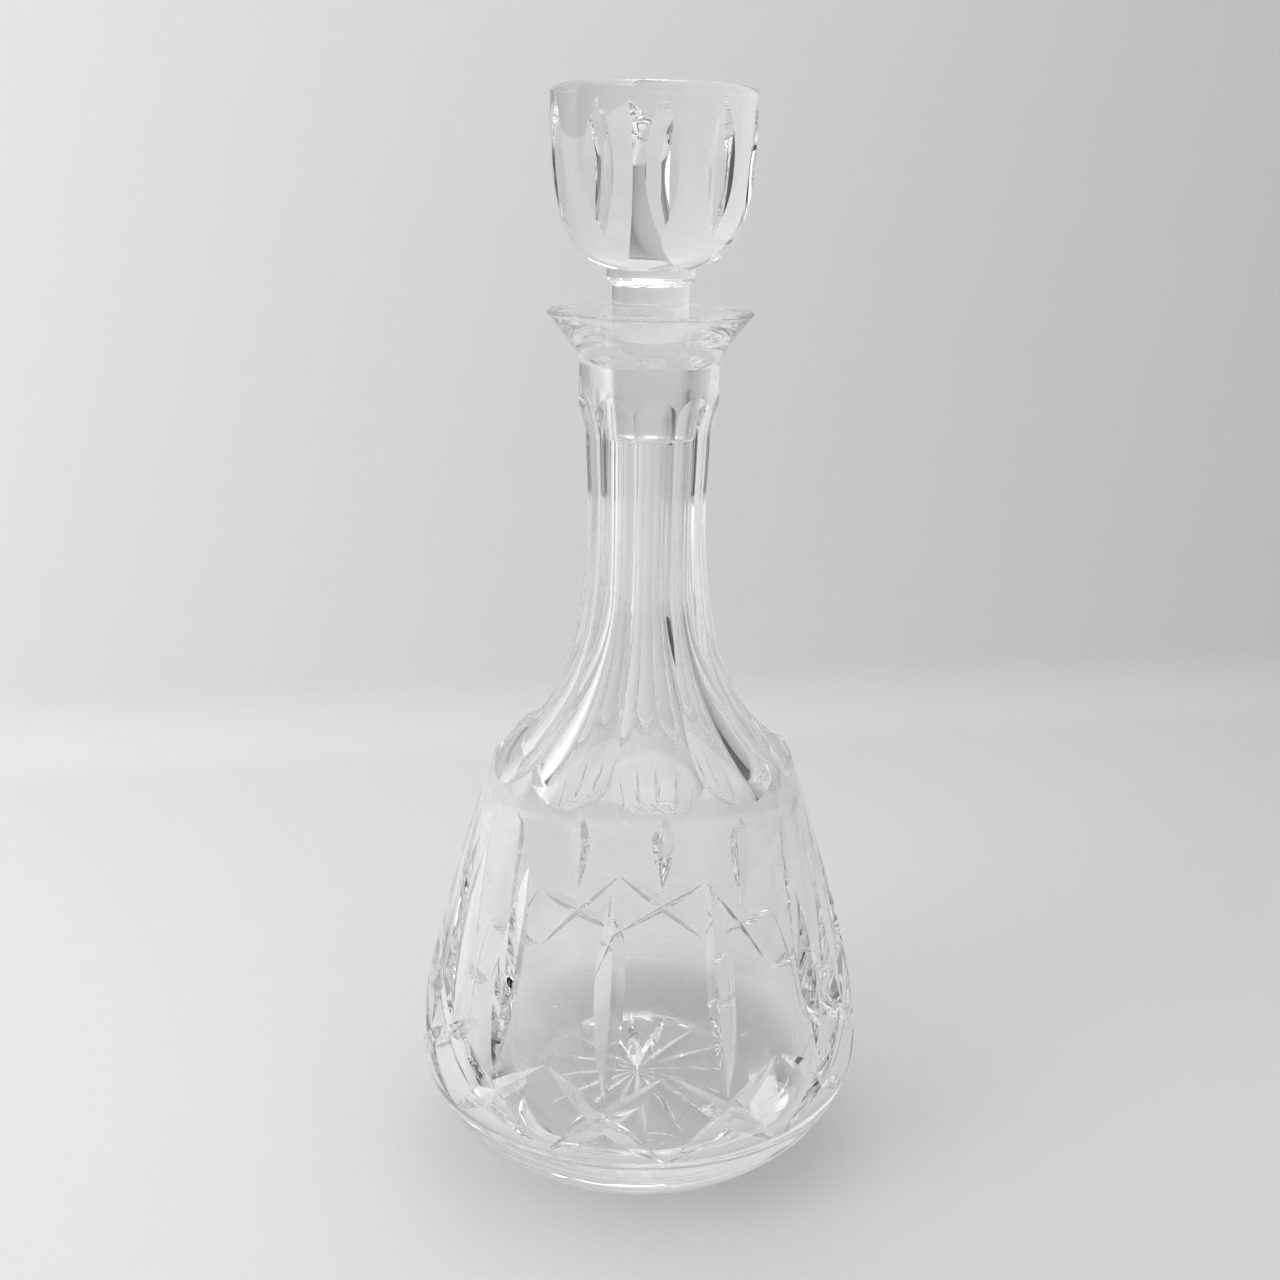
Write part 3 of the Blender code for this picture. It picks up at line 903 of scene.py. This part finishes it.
@dataclass(frozen=True)
class SoftLight:
    """A rectangular soft light aimed at a point, which can be kept out of what the glass shows."""

    name: str
    place: tuple[float, float, float]
    aim: tuple[float, float, float]
    size: Point
    power: float
    colour: tuple[float, float, float] = (1.0, 1.0, 1.0)
    shows_in_glass: bool = True

    def build(self) -> bpy.types.Object:
        """Add the light to the scene."""
        data = bpy.data.lights.new(self.name, "AREA")
        data.shape = "RECTANGLE"
        data.size, data.size_y = self.size
        data.energy = self.power
        data.color = self.colour
        lamp = bpy.data.objects.new(self.name, data)
        lamp.location = self.place
        lamp.rotation_euler = (Vector(self.aim) - Vector(self.place)).to_track_quat("-Z", "Y").to_euler()
        lamp.visible_glossy = lamp.visible_transmission = self.shows_in_glass
        bpy.context.scene.collection.objects.link(lamp)
        return lamp


@dataclass(frozen=True)
class Room:
    """The room round the table: bright above, darker behind the camera and to both sides.

    A start or end is how far a direction leans that way, from 0 to 1 in size, where the tone
    begins to fall or has fallen all the way.
    """

    ceiling: tuple[float, float, float] = (1.0, 1.0, 1.0)
    ceiling_strength: float = 0.80
    rear: float = 0.30
    rear_start: float = -0.60
    rear_end: float = -0.85
    side: float = 0.10
    side_start: float = 0.60
    side_end: float = 0.85

    def build(self) -> None:
        """Build the world's node tree."""
        world = bpy.data.worlds.new("room")
        bpy.context.scene.world = world
        world.use_nodes = True
        nodes, links = world.node_tree.nodes, world.node_tree.links
        background = nodes["Background"]
        background.inputs["Strength"].default_value = self.ceiling_strength
        place = nodes.new("ShaderNodeTexCoord")
        axes = nodes.new("ShaderNodeSeparateXYZ")
        links.new(place.outputs["Generated"], axes.inputs["Vector"])
        across = nodes.new("ShaderNodeMath")
        across.operation = "ABSOLUTE"
        links.new(axes.outputs["X"], across.inputs[0])
        tone = nodes.new("ShaderNodeVectorMath")
        tone.operation = "SCALE"
        tone.inputs[0].default_value = self.ceiling
        both = nodes.new("ShaderNodeMath")
        both.operation = "MULTIPLY"
        for number, (value, start, end, dim) in enumerate((
                (axes.outputs["Y"], self.rear_start, self.rear_end, self.rear),
                (across.outputs["Value"], self.side_start, self.side_end, self.side))):
            fall = nodes.new("ShaderNodeMapRange")
            fall.inputs["From Min"].default_value = start
            fall.inputs["From Max"].default_value = end
            fall.inputs["To Min"].default_value = 1.0
            fall.inputs["To Max"].default_value = dim
            links.new(value, fall.inputs["Value"])
            links.new(fall.outputs["Result"], both.inputs[number])
        links.new(both.outputs["Value"], tone.inputs["Scale"])
        links.new(tone.outputs["Vector"], background.inputs["Color"])


@dataclass(frozen=True)
class Camera:
    """The camera, a little above the rim of the bottle and below the top of the stopper."""

    place: tuple[float, float, float] = (0.0, -0.3979, 0.2627)
    pitch: float = 16.334 * DEG
    yaw: float = -0.0032
    roll: float = 0.0165
    lens: float = 43.98

    def build(self) -> bpy.types.Object:
        """Add the camera and make it the scene's own."""
        data = bpy.data.cameras.new("camera")
        data.sensor_width = 36.0
        data.lens = self.lens
        camera = bpy.data.objects.new("camera", data)
        turn = Matrix.Rotation(-self.yaw, 4, "Z") @ Matrix.Rotation(math.pi / 2 - self.pitch, 4, "X")
        camera.matrix_world = Matrix.Translation(self.place) @ turn @ Matrix.Rotation(self.roll, 4, "Z")
        bpy.context.scene.collection.objects.link(camera)
        bpy.context.scene.camera = camera
        return camera


LIGHTS = (
    SoftLight("window_left", (-0.9, -0.5, 0.55), (-0.4, 0.33, 0.55), (0.7, 0.7), 8.0,
              shows_in_glass=False),
    SoftLight("overhead", (0.1, -0.1, 1.3), (0.0, 0.1, 0.0), (0.8, 0.5), 1.0),
    SoftLight("window_above", (0.0, 0.24, 0.68), (0.0, -0.04, 0.115), (0.16, 0.04), 0.25, (1.0, 0.95, 0.96)),
)


def main() -> None:
    """Build the decanter, its table, its light and its camera."""
    logging.basicConfig(level=logging.INFO, format="%(name)s: %(message)s")
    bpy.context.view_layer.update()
    joint = Joint()
    bottle = Bottle(joint)
    stopper = Stopper(joint, bottle.height)
    ground = (joint.foot, joint.top, joint.ground_reach)
    bottle_crystal = LeadCrystal("bottle_lead_crystal", *ground).material()
    stopper_crystal = LeadCrystal("stopper_lead_crystal", *ground).material()
    dress(bottle.build(bottle_crystal), Body.BOTTLE, "bottle")
    dress(stopper.build(stopper_crystal), Body.STOPPER, "stopper")
    Table(Paper("white_paper")).build()
    for light in LIGHTS:
        light.build()
    Room().build()
    Camera().build()
    scene = bpy.context.scene
    scene.view_settings.view_transform = "Standard"
    scene.cycles.max_bounces = GLASS_BOUNCES
    scene.cycles.glossy_bounces = GLASS_BOUNCES
    scene.cycles.transmission_bounces = GLASS_BOUNCES
    scene.cycles.transparent_max_bounces = GLASS_BOUNCES


if __name__ == "__main__":
    main()
